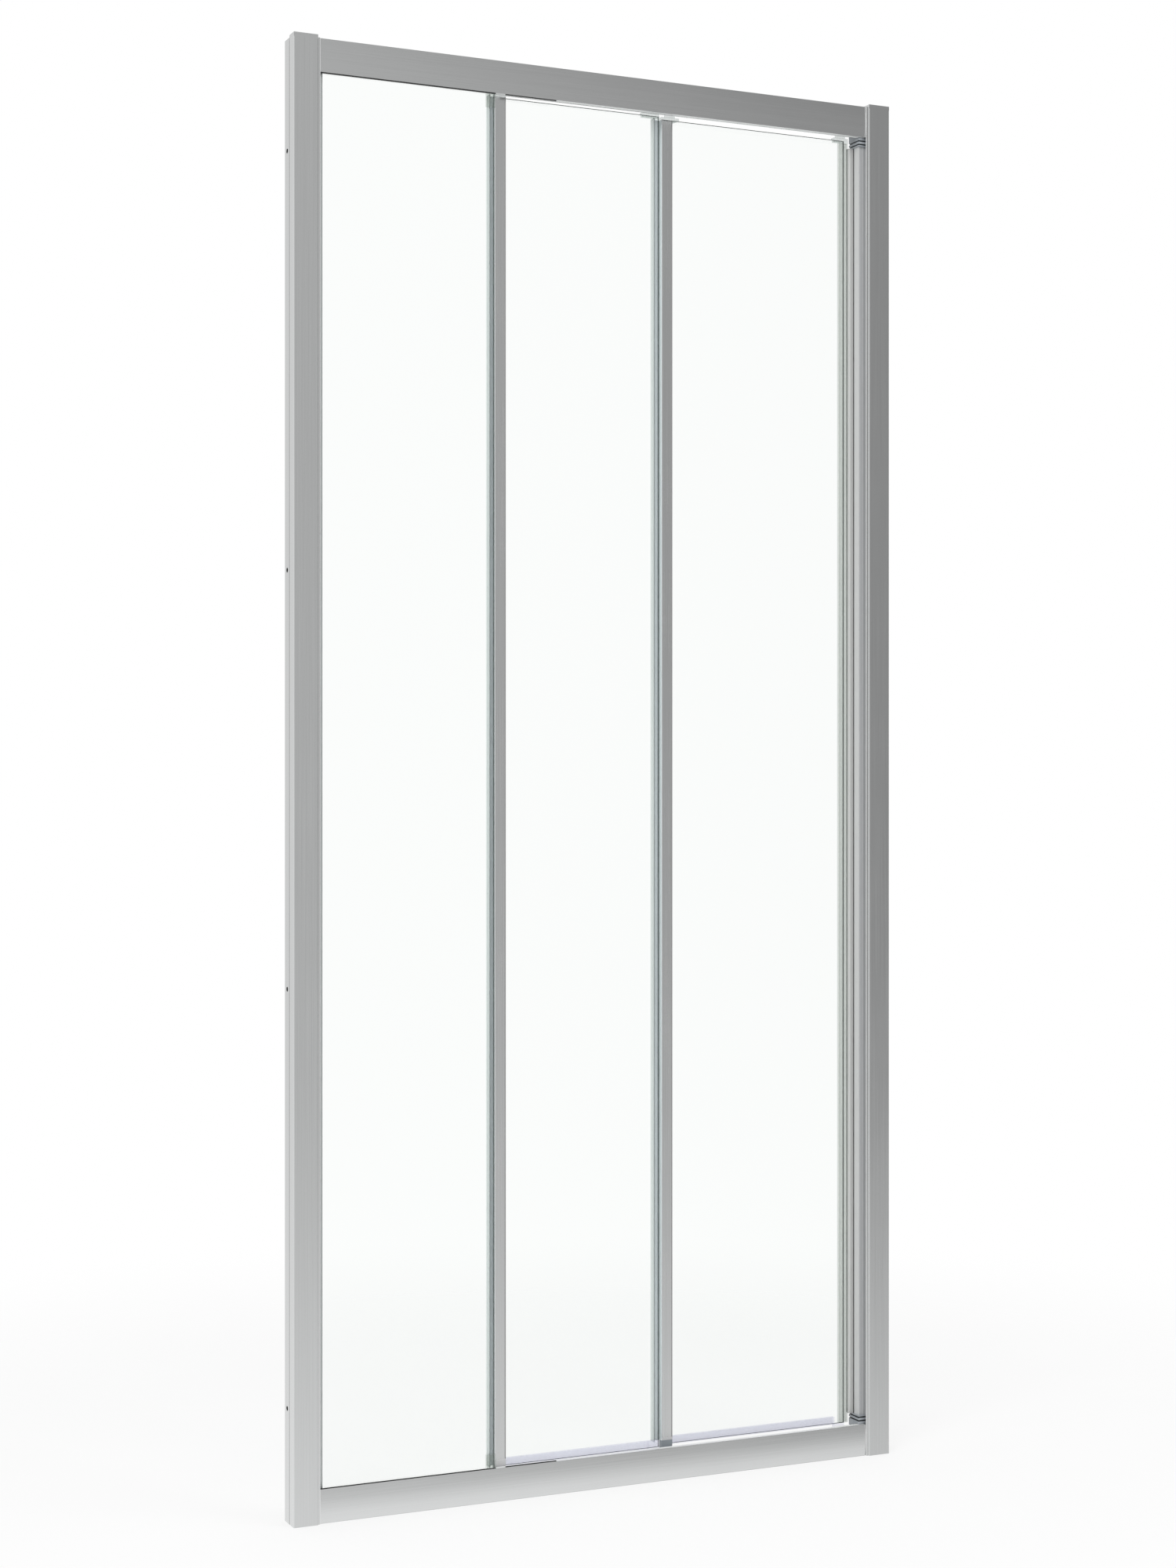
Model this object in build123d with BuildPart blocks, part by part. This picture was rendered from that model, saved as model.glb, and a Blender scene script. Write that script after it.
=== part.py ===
from build123d import *
from collections import namedtuple
import os

# Three-panel sliding shower door, in millimetres, closed.
# X runs along the door, from the left wall to the right wall, with 0 halfway.
# Y runs from the front covers to the back, with 0 halfway. Z is 0 under the sill.
# The fixed glass stands in the front track, the middle panel slides in the second track
# and the closing panel in the third. Both sliding panels open to the left.

# Overall size
door_width = 900.0
door_height = 1950.0
frame_depth = 38.0

# Aluminium extrusions
wall = 1.5
fin_wall = 1.2
lip_wall = 1.5
rail_bulge = 0.8
edge_round = 0.8

# Front covers and their caps
cover_width = 33.3
cover_depth = 18.8
cover_wall = 2.0
cover_clip = 10.0
cap_height = 6.0
cap_rise = 3.5
cap_plug = 8.0
cap_clearance = 0.3

# Uprights and wall channels
channel_reach = 26.0
channel_gap = 0.5
slide_gap = 0.3
tongue_start = 6.0
lip_reach = 3.5
step_reach = 6.2
bead_groove_depth = 26.6
bead_width = 1.2
bead_proud = 0.4

# Header and sill
header_height = 44.0
sill_height = 45.0
sill_recess = 15.0
sill_first_drop = 3.0
sill_second_drop = 6.5
sill_back_drop = 9.8
rail_tuck = 3.0
ledge_height = 8.5
port_radius = 3.2
port_hole = 1.7

# Glass and its glazing
glass = 5.0
pane_pitch = 11.5
wedge_thickness = 1.5
wedge_height = 8.0
wedge_proud = 1.0
backing_thickness = 1.5
glazing_grip = 12.0
setting_block = 4.0
setting_length = 40.0
setting_inset = 50.0
gasket_base = 2.0
gasket_inset = 1.0
infill_recess = 0.5
infill_height = 6.0
buffer_offset = 16.2
buffer_length = 74.7

# Layout of the panes along the door
closing_gap = 15.5
closing_overrun = 36.5
fixed_start = 31.0
fixed_edge_gap = 4.0
middle_edge_gap = 9.2

# Sliding panels
pane_top_gap = 2.0
pane_dip = 1.0
stile_width = 16.8
stile_wall = 1.5
hook_wall = 1.2
hook_engage = 2.9
hook_gap = 0.5
middle_hook_reach = 9.0
closing_hook_reach = 14.2
middle_stile_dip = 3.6
closing_stile_rise = 4.6
middle_stile_gap = 0.7
closing_stile_gap = 3.0
open_gap = 1.5

# Seals of clear plastic
seal_wall = 0.8
seal_web = 1.0
seal_lap = 11.0
closing_seal_lap = 8.5
seal_fin = 1.2
grip_clearance = 0.05
seal_flap = 3.5
fin_clearance = 0.5
closing_bulb = 6.0
strike_clearance = 0.4
strike_width = 8.0
bottom_seal_wall = 1.0
bottom_seal_height = 10.0

# Corner clips of the fixed glass
clip_lap = 11.5
clip_web = 1.5
clip_height = 18.0

# Carriers, rollers and guide shoes
saddle_wall = 1.2
saddle_grip = 3.0
saddle_rise = 1.5
middle_right_saddle = 26.5
closing_left_saddle = 27.5
closing_right_saddle = 24.0
closing_saddle_overhang = 6.5
saddle_taper = 8.0
neck_width = 16.0
neck_wall = 2.0
neck_setback = 0.1
neck_cover = 6.0
roller_radius = 8.0
roller_width = 3.2
roller_play = 0.5
roller_lift = 0.3
ledge_setback = 0.2
rim_round = 0.5
axle_radius = 2.0
axle_clearance = 0.05
axle_head_radius = 3.5
axle_head = 1.2
axle_clip_radius = 3.0
axle_clip = 0.5
guide_length = 16.0
guide_gap = 0.3
guide_tongue = 5.5

# Corner blocks and track stops
block_wall = 2.8
block_height = 12.0
block_nose = 4.0
slot_height = 2.2
slot_depth = 1.8
slot_places = (1.2, 6.2)
stop_length = 14.0
stop_height = 10.0
stop_gap = 0.5

# Screws
wall_hole_radius = 3.2
wall_hole_count = 4
wall_hole_spacing = 550.0
adjuster_count = 3
adjuster_spacing = 750.0
adjuster_reach = 16.0
adjuster_radius = 1.9
adjuster_head_radius = 3.6
adjuster_length = 9.0
screw_head_radius = 2.8
screw_head = 2.4
screw_length = 16.0
socket_radius = 1.2
socket_depth = 1.0

# Places across the door, from front to back
front = -frame_depth / 2
back = frame_depth / 2
cover_back = front + cover_depth
lip_front = front + cover_wall
rail_front = lip_front + lip_wall
pocket_front = rail_front + wall
fixed_pane_front = pocket_front + wedge_thickness
fixed_pane_back = fixed_pane_front + glass
pocket_back = fixed_pane_back + backing_thickness
fixed_plane = fixed_pane_front + glass / 2
middle_plane = fixed_plane + pane_pitch
closing_plane = middle_plane + pane_pitch
first_fin_back = pocket_back + fin_wall
second_fin_front = (middle_plane + closing_plane - fin_wall) / 2
second_fin_back = second_fin_front + fin_wall
rail_back_wall = back - wall

# Places along the door, for the left-hand end
left = -door_width / 2
cover_edge = left + cover_width
lip_edge = cover_edge + lip_reach
inner_face = lip_edge + step_reach
pocket_floor = left + channel_reach + channel_gap
rail_end = lip_edge - rail_tuck

# Heights
rail_top = door_height - cap_rise
cover_top = door_height - cap_height
header_bottom = rail_top - header_height
sill_floor = sill_height - sill_recess
sill_first_top = sill_height - sill_first_drop
sill_second_top = sill_height - sill_second_drop
sill_back_top = sill_height - sill_back_drop
ledge_top = header_bottom + ledge_height
track_bottom = ledge_top - wall
pane_bottom = sill_height - pane_dip
pane_top = header_bottom - pane_top_gap
fixed_pane_bottom = sill_floor + setting_block
fixed_pane_top = header_bottom + glazing_grip
axle_height = ledge_top + roller_lift + roller_radius
carrier_bottom = pane_top - saddle_grip
bottom_seal_top = pane_bottom + bottom_seal_height

# Places of the panes and stiles along the door
closing_pane_right = -inner_face - closing_gap
closing_saddle_end = closing_pane_right + closing_saddle_overhang
stile_pitch = (closing_pane_right - closing_overrun - (left + fixed_start)) / 3
middle_stile_left = left + fixed_start + stile_pitch
closing_stile_left = middle_stile_left + stile_pitch
fixed_pane_left = pocket_floor + wall + gasket_base
fixed_pane_right = middle_stile_left - fixed_edge_gap
middle_pane_right = closing_stile_left - middle_edge_gap
wedge_end = fixed_pane_right + clip_web
buffer_left = fixed_pane_right + buffer_offset
buffer_right = buffer_left + buffer_length

# Travel of the sliding panels to the left: the middle one until its hook nears the upright,
# the closing one past the middle one until their hooks are in line
middle_travel = middle_stile_left - middle_hook_reach - inner_face - open_gap
closing_travel = stile_pitch - closing_hook_reach + middle_hook_reach

Panel = namedtuple(
    "Panel",
    "name plane stile_left pane_right stile_bottom stile_top hook_reach channel_front channel_back"
    " open_travel left_saddle right_saddle right_guide_top",
)
middle = Panel(
    name="middle",
    plane=middle_plane,
    stile_left=middle_stile_left,
    pane_right=middle_pane_right,
    stile_bottom=sill_height - middle_stile_dip,
    stile_top=header_bottom - middle_stile_gap,
    hook_reach=middle_hook_reach,
    channel_front=first_fin_back,
    channel_back=second_fin_front,
    open_travel=middle_travel,
    left_saddle=(middle_stile_left, middle_stile_left + stile_width),
    right_saddle=(middle_pane_right - middle_right_saddle, middle_pane_right),
    right_guide_top=bottom_seal_top,
)
closing = Panel(
    name="closing",
    plane=closing_plane,
    stile_left=closing_stile_left,
    pane_right=closing_pane_right,
    stile_bottom=sill_height + closing_stile_rise,
    stile_top=header_bottom - closing_stile_gap,
    hook_reach=closing_hook_reach,
    channel_front=second_fin_back,
    channel_back=rail_back_wall,
    open_travel=middle_travel + closing_travel,
    left_saddle=(closing_stile_left, closing_stile_left + closing_left_saddle),
    right_saddle=(closing_saddle_end - closing_right_saddle, closing_saddle_end),
    right_guide_top=pane_bottom,
)


def rectangle(low, high, mode=Mode.ADD):
    """Rectangle of a sketch between two opposite corners."""
    with Locations(((low[0] + high[0]) / 2, (low[1] + high[1]) / 2)):
        Rectangle(high[0] - low[0], high[1] - low[1], mode=mode)


def block(low, high, mode=Mode.ADD):
    """Box of a part between two opposite corners."""
    middle_point = [(a + b) / 2 for a, b in zip(low, high)]
    with Locations(tuple(middle_point)):
        Box(*[b - a for a, b in zip(low, high)], mode=mode)


def pin_along_y(x, z, front_end, back_end, radius, mode=Mode.ADD):
    """Round pin or hole along Y."""
    with Locations(Location((x, (front_end + back_end) / 2, z), (90, 0, 0))):
        Cylinder(radius, back_end - front_end, mode=mode)


def pin_along_x(y, z, left_end, right_end, radius, mode=Mode.ADD):
    """Round pin or hole along X."""
    with Locations(Location(((left_end + right_end) / 2, y, z), (0, 90, 0))):
        Cylinder(radius, right_end - left_end, mode=mode)


def save(piece, label):
    """Names one finished piece and writes it."""
    piece.part.label = label
    export_step(piece.part, f"parts/{label}.step")


def mirrored(piece):
    """The right-hand twin of a left-hand piece."""
    with BuildPart() as twin:
        mirror(piece.part, about=Plane.YZ)
    return twin


def middle_of(ends):
    """Halfway between two places."""
    return sum(ends) / 2


def spaced(count, spacing):
    """Heights of a row of holes, centred on the door."""
    return [door_height / 2 + (step - (count - 1) / 2) * spacing for step in range(count)]


# Fasteners come first, because the pieces that they hold are cut by them

def port_places(underside):
    """Screw ports of a rail: each grows out of a fin and the plate above it."""
    height = underside + wall / 2 - port_radius
    inset = port_radius - fin_wall / 2
    return [(first_fin_back + inset, height), (second_fin_back + inset, height)]


header_ports = port_places(rail_top - wall)
sill_ports = port_places(sill_floor - wall)


def make_corner_screws_left():
    """Pan-head screws through the upright's inner wall into the screw ports of both rails."""
    head_seat = inner_face - wall
    head_end = head_seat - screw_head
    with BuildPart() as screws:
        for y, z in header_ports + sill_ports:
            pin_along_x(y, z, head_end, head_seat, screw_head_radius)
            pin_along_x(y, z, head_seat, inner_face + screw_length, port_hole)
            pin_along_x(y, z, head_end, head_end + socket_depth, socket_radius, mode=Mode.SUBTRACT)
    return screws


def adjuster_shapes(mode):
    """Countersunk heads and shanks, as screws or as the holes that they fill."""
    x = left + adjuster_reach
    for z in spaced(adjuster_count, adjuster_spacing):
        with Locations(Location((x, back - wall / 2, z), (90, 0, 0))):
            Cone(adjuster_head_radius, adjuster_radius, wall, mode=mode)
        pin_along_y(x, z, back - adjuster_length, back - wall, adjuster_radius, mode=mode)


def make_adjuster_screws_left():
    """Countersunk screws that lock the upright in the wall channel."""
    x = left + adjuster_reach
    with BuildPart() as screws:
        adjuster_shapes(Mode.ADD)
        for z in spaced(adjuster_count, adjuster_spacing):
            pin_along_y(x, z, back - socket_depth, back, socket_radius, mode=Mode.SUBTRACT)
    return screws


corner_screws_left = make_corner_screws_left()


# Left-hand pieces of the surround, each mirrored to the right

def make_wall_channel():
    """U channel screwed to the wall."""
    with BuildPart() as channel:
        with BuildSketch(Plane.XY):
            rectangle((left, cover_back), (left + wall, back))
            rectangle((left, cover_back), (left + channel_reach, cover_back + wall))
            rectangle((left, back - wall), (left + channel_reach, back))
        extrude(amount=rail_top)
        for z in spaced(wall_hole_count, wall_hole_spacing):
            pin_along_x((cover_back + back) / 2, z, left, left + wall, wall_hole_radius, mode=Mode.SUBTRACT)
        adjuster_shapes(Mode.SUBTRACT)
    return channel


def make_upright():
    """Upright that slides in the wall channel, with the glazing pocket at the front."""
    tongue_front = cover_back + wall + slide_gap
    tongue_back = back - wall - slide_gap
    with BuildPart() as upright:
        with BuildSketch(Plane.XY):
            # Lip, pocket floor and pocket back
            rectangle((pocket_floor, lip_front), (lip_edge, rail_front))
            rectangle((pocket_floor, lip_front), (pocket_floor + wall, pocket_back + wall))
            rectangle((pocket_floor, pocket_back), (inner_face, pocket_back + wall))
            # Inner wall and the strip of back face that shows beside the channel
            rectangle((inner_face - wall, pocket_back), (inner_face, back))
            rectangle((pocket_floor, back - wall), (inner_face, back))
            # The two legs that slide in the channel
            rectangle((left + tongue_start, tongue_front), (inner_face, tongue_front + wall))
            rectangle((left + tongue_start, tongue_back - wall), (pocket_floor + wall, tongue_back))
            rectangle((pocket_floor, tongue_back - wall), (pocket_floor + wall, back))
            # Groove for the bead
            rectangle(
                (inner_face - bead_width / 2, front + bead_groove_depth),
                (inner_face, front + bead_groove_depth + bead_width),
                mode=Mode.SUBTRACT,
            )
        extrude(amount=rail_top)
        # Notch under the cap
        block((left, front, cover_top), (cover_edge, cover_back, rail_top), mode=Mode.SUBTRACT)
        add(corner_screws_left.part, mode=Mode.SUBTRACT)
        adjuster_shapes(Mode.SUBTRACT)
    return upright


def make_cover():
    """Snap-on cover: front, outer side, a return along the channel and a clip leg on the upright."""
    clip_right = pocket_floor
    with BuildPart() as cover:
        with BuildSketch(Plane.XY):
            rectangle((left, front), (cover_edge, front + cover_wall))
            rectangle((left, front), (left + wall, cover_back))
            rectangle((left, cover_back - wall), (left + tongue_start, cover_back))
            rectangle((clip_right - wall, front), (clip_right, front + cover_wall + cover_clip))
            corners = vertices().filter_by_position(Axis.Y, front, front)
            fillet(corners, edge_round)
        extrude(amount=cover_top)
    return cover


def make_cap():
    """Cap of the cover, with a plug that sits inside it."""
    plug_side = left + wall + cap_clearance
    plug_front = front + cover_wall + cap_clearance
    with BuildPart() as cap:
        block((left, front, cover_top), (cover_edge, cover_back, door_height))
        fillet(cap.faces().sort_by(Axis.Z)[-1].edges(), edge_round)
        block(
            (plug_side, plug_front, cover_top - cap_plug),
            (pocket_floor - wall - cap_clearance, front + cover_wall + cover_clip, cover_top),
        )
    return cap


# Header and sill

def rounded_front(bottom, top):
    """Front wall of a rail, slightly rounded outwards."""
    edge = rail_front + rail_bulge
    with BuildLine() as outline:
        ThreePointArc((edge, bottom), (rail_front, (bottom + top) / 2), (edge, top))
        Polyline((edge, top), (pocket_front, top), (pocket_front, bottom), (edge, bottom))
    make_face(outline.edges())


def ports(places):
    """Rings for the corner screws."""
    for place in places:
        with Locations(place):
            Circle(port_radius)
    for place in places:
        with Locations(place):
            Circle(port_hole, mode=Mode.SUBTRACT)


def trim_rail_ends(bottom, top):
    """Shortens a rail behind the pocket, where it butts against the inner walls of the uprights."""
    for side in (-1, 1):
        ends = sorted((side * -inner_face, side * -rail_end))
        block((ends[0], pocket_back, bottom), (ends[1], back, top), mode=Mode.SUBTRACT)


def make_header():
    """Top rail: glazing pocket, two roller tracks with their ledges, and screw ports."""
    with BuildPart() as header:
        with BuildSketch(Plane.YZ.offset(rail_end)):
            rounded_front(header_bottom, rail_top)
            rectangle((pocket_front - wall / 2, rail_top - wall), (back, rail_top))
            rectangle((pocket_back, header_bottom), (first_fin_back, rail_top))
            # Behind the first fin the rail ends higher, level with the undersides of the ledges
            rectangle((second_fin_front, track_bottom), (second_fin_back, rail_top))
            rectangle((rail_back_wall, track_bottom), (back, rail_top))
            for panel in (middle, closing):
                rectangle(
                    (panel.plane + ledge_setback, track_bottom),
                    (panel.channel_back + wall / 2, ledge_top),
                )
            ports(header_ports)
        extrude(amount=-2 * rail_end)
        trim_rail_ends(header_bottom, rail_top)
    return header


def make_sill():
    """Bottom rail: hollow base, glazing pocket, guide channels between low fins, and screw ports."""
    with BuildPart() as sill:
        with BuildSketch(Plane.YZ.offset(rail_end)):
            rounded_front(0, sill_height)
            rectangle((pocket_front - wall / 2, 0), (back, wall))
            rectangle((pocket_front - wall / 2, sill_floor - wall), (back, sill_floor))
            # Each wall is lower than the one before it, so that water runs off to the back
            rectangle((pocket_back, sill_floor - wall), (first_fin_back, sill_first_top))
            rectangle((second_fin_front, sill_floor - wall), (second_fin_back, sill_second_top))
            rectangle((rail_back_wall, 0), (back, sill_back_top))
            ports(sill_ports)
        extrude(amount=-2 * rail_end)
        trim_rail_ends(0, sill_first_top)
    return sill


def make_corner_block(seat, root, side):
    """Plastic end block of the tracks: against the inner wall, with a nose that fills the pocket.

    seat is the height of the rail's front edge, root that of its second fin's edge,
    and side is 1 above the sill and -1 below the header.
    """
    block_front = pocket_back - block_nose
    block_face = inner_face + block_wall
    far = seat + side * block_height
    low, high = sorted((seat, far))
    root_low, root_high = sorted((root, far))
    with BuildPart() as corner:
        block((inner_face, block_front, low), (block_face, back - wall, high))
        block((inner_face, first_fin_back, root_low), (block_face, back - wall, root_high))
        block((pocket_floor + wall, block_front, low), (inner_face, pocket_back, high))
        for place in slot_places:
            slot_low, slot_high = sorted((far - side * place, far - side * (place + slot_height)))
            block(
                (block_face - slot_depth, block_front, slot_low),
                (block_face, back - wall, slot_high),
                mode=Mode.SUBTRACT,
            )
            block(
                (pocket_floor + wall, block_front, slot_low),
                (block_face, block_front + slot_depth, slot_high),
                mode=Mode.SUBTRACT,
            )
    return mirrored(corner)


def make_track_stops():
    """Rubber stops on the ledges: one where each panel's left roller ends its run, and one on the right."""
    reach = roller_radius + stop_gap
    right_faces = (-inner_face - stop_length, middle_of(closing.right_saddle) + reach)
    with BuildPart() as stops:
        for panel, right_face in zip((middle, closing), right_faces):
            left_face = middle_of(panel.left_saddle) - panel.open_travel - reach
            for low, high in ((inner_face, left_face), (right_face, -inner_face)):
                block(
                    (low, panel.plane + ledge_setback, ledge_top),
                    (high, panel.channel_back - guide_gap, ledge_top + stop_height),
                )
    return stops


# Fixed glass and its glazing

def make_fixed_glass():
    with BuildPart() as pane:
        block(
            (fixed_pane_left, fixed_pane_front, fixed_pane_bottom),
            (fixed_pane_right, fixed_pane_back, fixed_pane_top),
        )
    return pane


fixed_glass = make_fixed_glass()


def make_side_gasket():
    """Gasket around the glass edge in the upright's pocket."""
    with BuildPart() as gasket:
        block(
            (pocket_floor + wall, rail_front, sill_height),
            (lip_edge - gasket_inset, pocket_back, header_bottom),
        )
        add(fixed_glass.part, mode=Mode.SUBTRACT)
    return gasket


def make_wedge(low, high):
    """Glazing wedge between a rail's front wall and the glass."""
    with BuildPart() as wedge:
        block((lip_edge, pocket_front, low), (wedge_end, fixed_pane_front, high))
    return wedge


def make_buffer(low, high):
    """Black strip behind a rail's front wall, right of the middle panel's stile."""
    with BuildPart() as buffer:
        block((buffer_left, pocket_front, low), (buffer_right, fixed_pane_front, high))
    return buffer


def make_backing(low, high):
    """Strip between the glass and the first fin of a rail."""
    with BuildPart() as backing:
        block((lip_edge, fixed_pane_back, low), (fixed_pane_right, pocket_back, high))
    return backing


def make_setting_blocks():
    """Blocks that carry the fixed glass in the sill."""
    with BuildPart() as blocks:
        for x in (fixed_pane_left + setting_inset, fixed_pane_right - setting_inset):
            block(
                (x - setting_length / 2, fixed_pane_front, sill_floor),
                (x + setting_length / 2, fixed_pane_back, fixed_pane_bottom),
            )
    return blocks


def make_infill(low, high):
    """Pale strip that closes the front track beside the fixed glass, with a rebate for the buffer."""
    with BuildPart() as infill:
        block((wedge_end, pocket_front, low), (-lip_edge, pocket_back, high))
        block((buffer_left, pocket_front, low), (buffer_right, fixed_pane_front, high), mode=Mode.SUBTRACT)
    return infill


def make_clip(low, high):
    """Clear corner clip around the free edge of the fixed glass."""
    with BuildPart() as clip:
        block(
            (fixed_pane_right - clip_lap, pocket_front, low),
            (fixed_pane_right + clip_web, pocket_back, high),
        )
        fillet(clip.edges().filter_by(Axis.Z), edge_round)
        block(
            (fixed_pane_left, fixed_pane_front - grip_clearance, low),
            (fixed_pane_right + grip_clearance, fixed_pane_back + grip_clearance, high),
            mode=Mode.SUBTRACT,
        )
    return clip


# Seals on the glass edges

def edge_seal_section(plane, pane_right, lap):
    """U section around a glass edge."""
    outer = glass / 2 + seal_wall
    inner = glass / 2 + grip_clearance
    rectangle((pane_right - lap, plane - outer), (pane_right + seal_web, plane + outer))
    rectangle(
        (pane_right - lap, plane - inner),
        (pane_right + grip_clearance, plane + inner),
        mode=Mode.SUBTRACT,
    )


def make_catch_seal(plane, pane_right, next_panel, low, high, flap):
    """Edge seal with a fin that the next panel's hook catches, and a soft flap past the edge."""
    fin_left = next_panel.stile_left - next_panel.hook_reach + hook_wall + hook_gap
    fin_end = next_panel.plane - glass / 2 - stile_wall - fin_clearance
    with BuildPart() as seal:
        with BuildSketch(Plane.XY.offset(low)):
            edge_seal_section(plane, pane_right, seal_lap)
            rectangle((fin_left, plane + glass / 2 + seal_wall / 2), (fin_left + seal_fin, fin_end))
            if flap > 0:
                rectangle(
                    (pane_right + seal_web / 2, plane - seal_wall),
                    (pane_right + seal_web + flap, plane + seal_wall),
                )
        extrude(amount=high - low)
    return seal


def make_closing_seal(low, high):
    """Edge seal of the closing panel, with a hollow bulb that meets the strike strip."""
    bulb_left = closing_pane_right + seal_web
    with BuildPart() as seal:
        with BuildSketch(Plane.XY.offset(low)):
            edge_seal_section(closing_plane, closing_pane_right, closing_seal_lap)
            rectangle(
                (closing_pane_right + seal_web / 2, closing_plane - glass / 2),
                (bulb_left + closing_bulb, closing_plane + glass / 2),
            )
            rectangle(
                (bulb_left, closing_plane - glass / 2 + seal_wall),
                (bulb_left + closing_bulb - seal_wall, closing_plane + glass / 2 - seal_wall),
                mode=Mode.SUBTRACT,
            )
        extrude(amount=high - low)
    return seal


def make_strike_strip(low, high):
    """Strip on the right upright that the closing seal meets."""
    strip_left = closing_pane_right + seal_web + closing_bulb + strike_clearance
    with BuildPart() as strip:
        block(
            (strip_left, closing_plane - strike_width / 2, low),
            (-inner_face, closing_plane + strike_width / 2, high),
        )
        fillet(strip.edges().filter_by(Axis.Z).sort_by(Axis.X)[:2], edge_round)
    return strip


def make_strike_bead(low, high):
    """Black bead in the groove of the right upright."""
    groove_front = front + bead_groove_depth
    with BuildPart() as bead:
        block(
            (-inner_face - bead_proud, groove_front, low),
            (-inner_face + bead_width / 2, groove_front + bead_width, high),
        )
    return bead


# Pieces of a sliding panel

def make_pane(panel, clearance=0.0):
    """Glass of a sliding panel, or with a clearance the space that its plastic pieces leave for it."""
    half = glass / 2 + clearance
    with BuildPart() as pane:
        block(
            (panel.stile_left + stile_wall, panel.plane - half, pane_bottom - clearance),
            (panel.pane_right + clearance, panel.plane + half, pane_top + clearance),
        )
    return pane


def make_stile(panel):
    """Edge profile: a channel around the glass and a hook, open to the front, on its left."""
    half = glass / 2 + stile_wall
    hook_left = panel.stile_left - panel.hook_reach
    hook_low = max(sill_height, panel.stile_bottom)
    with BuildPart() as stile:
        with BuildSketch(Plane.XY.offset(panel.stile_bottom)):
            rectangle(
                (panel.stile_left, panel.plane - half), (panel.stile_left + stile_width, panel.plane + half)
            )
            rectangle(
                (panel.stile_left + stile_wall, panel.plane - glass / 2),
                (panel.stile_left + stile_width, panel.plane + glass / 2),
                mode=Mode.SUBTRACT,
            )
        extrude(amount=panel.stile_top - panel.stile_bottom)
        with BuildSketch(Plane.XY.offset(hook_low)):
            rectangle((hook_left, panel.plane + half - hook_wall), (panel.stile_left, panel.plane + half))
            rectangle(
                (hook_left, panel.plane - half - hook_engage), (hook_left + hook_wall, panel.plane + half)
            )
        extrude(amount=panel.stile_top - hook_low)
    return stile


def make_bottom_seal(panel, pane_space):
    """Translucent wiper along the lower glass edge, between stile and right guide."""
    half = glass / 2 + bottom_seal_wall
    with BuildPart() as seal:
        block(
            (panel.stile_left + stile_width, panel.plane - half, pane_bottom - bottom_seal_wall),
            (panel.pane_right - guide_length, panel.plane + half, bottom_seal_top),
        )
        add(pane_space.part, mode=Mode.SUBTRACT)
    return seal


def make_axle(panel, x):
    """Axle with a head in front of the carrier and a retaining ring behind the roller."""
    head_back = panel.plane - neck_setback - neck_wall
    roller_back = panel.plane - neck_setback + roller_play + roller_width
    ring_front = roller_back + neck_setback
    with BuildPart() as axle:
        pin_along_y(x, axle_height, head_back - axle_head, head_back, axle_head_radius)
        pin_along_y(x, axle_height, head_back, ring_front + axle_clip, axle_radius)
        pin_along_y(x, axle_height, ring_front, ring_front + axle_clip, axle_clip_radius)
    return axle


def make_roller(panel, x):
    """Plastic roller with a rounded rim and a bore that runs on the axle."""
    face = panel.plane - neck_setback + roller_play
    far_face = face + roller_width
    bore = axle_radius + axle_clearance
    with BuildPart() as roller:
        pin_along_y(x, axle_height, face, far_face, roller_radius)
        fillet(roller.edges().filter_by(GeomType.CIRCLE), rim_round)
        pin_along_y(x, axle_height, face, far_face, bore, mode=Mode.SUBTRACT)
    return roller


def make_carrier(panel, low, high, axle, stile, pane_space):
    """Saddle on the upper glass edge with a neck that carries the axle in the header."""
    half = glass / 2 + saddle_wall
    saddle_top = header_bottom + saddle_rise
    neck_middle = middle_of((low, high))
    neck_back = panel.plane - neck_setback
    with BuildPart() as carrier:
        block((low, panel.plane - half, carrier_bottom), (high, panel.plane + half, saddle_top))
        if panel.stile_left + stile_width < high < panel.pane_right:
            # A left-hand saddle that is longer than the stile's width runs out in a taper
            right_side = carrier.faces().sort_by(Axis.X)[-1]
            taper_edge = right_side.edges().sort_by(Axis.Z)[0]
            chamfer(taper_edge, saddle_grip, saddle_taper, reference=right_side)
        block(
            (neck_middle - neck_width / 2, neck_back - neck_wall, header_bottom),
            (neck_middle + neck_width / 2, neck_back, axle_height + neck_cover),
        )
        for piece in (axle, stile, pane_space):
            add(piece.part, mode=Mode.SUBTRACT)
    return carrier


def make_guide(panel, low, high, top, stile, pane_space):
    """Guide shoe: a tongue between the fins of the sill and a grip on the lower glass edge."""
    half = glass / 2 + saddle_wall
    tongue_bottom = sill_floor + guide_gap
    tongue_top = sill_floor + guide_tongue
    with BuildPart() as guide:
        block(
            (low, panel.channel_front + guide_gap, tongue_bottom),
            (high, panel.channel_back - guide_gap, tongue_top),
        )
        block((low, panel.plane - half, tongue_bottom), (high, panel.plane + half, top))
        for piece in (stile, pane_space):
            add(piece.part, mode=Mode.SUBTRACT)
    return guide


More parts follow.
